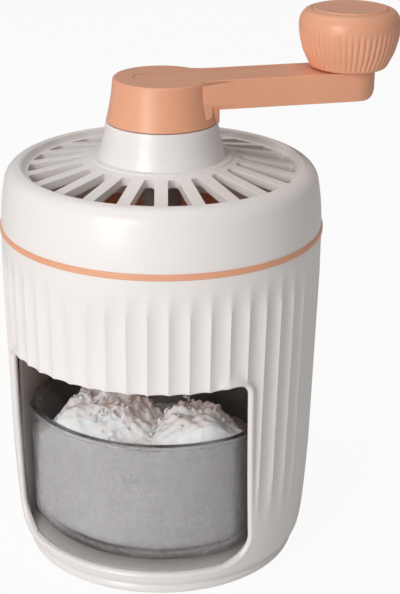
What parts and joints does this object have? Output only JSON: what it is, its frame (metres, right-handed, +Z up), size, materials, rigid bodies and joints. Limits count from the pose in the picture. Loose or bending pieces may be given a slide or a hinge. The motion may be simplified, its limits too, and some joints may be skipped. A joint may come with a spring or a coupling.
{
  "type": "hand cranked ice shaver",
  "caption": "Round tabletop ice shaver: fluted housing with a serving window and slide-out bowl, slotted lid, top crank with a turning knob, and a sprung toothed presser over a fixed blade.",
  "frame": {"origin": "on the vertical turning axis, at the table plane under the foot ring", "axes": "+Z up along the crank's axis, -Y out of the serving window, +X to the viewer's right when facing the window; the crank rests 33 degrees from +X towards +Y"},
  "size_m": [0.1442, 0.1248, 0.2152],
  "materials": {
    "white_shell": "satin moulded ABS",
    "white_bay": "satin moulded ABS",
    "white_base": "satin moulded ABS",
    "white_lid": "satin moulded ABS",
    "rubber_foot": "soft grey ring",
    "steel_screws": "zinc plated steel",
    "steel_blade": "ground stainless strip",
    "steel_plate": "stainless pressing",
    "steel_axle": "turned and plated",
    "steel_rod": "drawn hexagon tube",
    "spring_steel": "coiled wire",
    "grey_spindle": "dark grey nylon",
    "bushing_acetal": "natural acetal",
    "orange_barrel": "satin moulded ABS",
    "orange_press": "moulded ABS",
    "orange_crank": "satin moulded ABS",
    "orange_knob": "satin moulded ABS",
    "clear_bowl": "clear moulded plastic"
  },
  "bodies": {
    "housing": {"outer_shell": "white_shell", "bowl_bay": "white_bay", "base_cover": "white_base", "foot_ring": "rubber_foot", "base_screws": "steel_screws"},
    "barrel": {"ice_barrel": "orange_barrel", "blade": "steel_blade", "blade_clamp": "steel_plate", "blade_screws": "steel_screws"},
    "lid": {"lid": "white_lid", "neck_bushing": "bushing_acetal", "thrust_washer": "bushing_acetal"},
    "crank": {"crank_arm": "orange_crank", "arm_cover": "orange_crank", "spindle": "grey_spindle", "spindle_end_cap": "grey_spindle", "hub_screw": "steel_screws", "knob_axle": "steel_axle", "knob_washer": "steel_axle", "knob_screw": "steel_screws", "press_spring": "spring_steel"},
    "press": {"press_disc": "orange_press", "press_rod": "steel_rod", "disc_screw": "steel_screws"},
    "knob": {"knob": "orange_knob", "knob_cap": "orange_knob"},
    "bowl": {"bowl": "clear_bowl"}
  },
  "joints": [
    {"name": "barrel_lift", "type": "slide", "parent": "housing", "child": "barrel", "axis": [0, 0, 1], "range_m": [0, 0.052]},
    {"name": "lid_lift", "type": "slide", "parent": "barrel", "child": "lid", "axis": [0, 0, 1], "range_m": [0, 0.05]},
    {"name": "crank_spin", "type": "hinge", "parent": "lid", "child": "crank", "pos_m": [0, 0, 0.1759], "axis": [0, 0, 1], "continuous": true},
    {"name": "press_slide", "type": "slide", "parent": "crank", "child": "press", "axis": [0, 0, 1], "range_m": [0, 0.022], "stiffness_N_per_m": 150, "springref_m": -0.02, "deforming": ["press_spring"]},
    {"name": "knob_spin", "type": "hinge", "parent": "crank", "child": "knob", "pos_m": [0.06206, 0.0403, 0.1921], "axis": [0, 0, 1], "continuous": true},
    {"name": "bowl_slide", "type": "slide", "parent": "housing", "child": "bowl", "axis": [0, -1, 0], "range_m": [0, 0.105]}
  ]
}
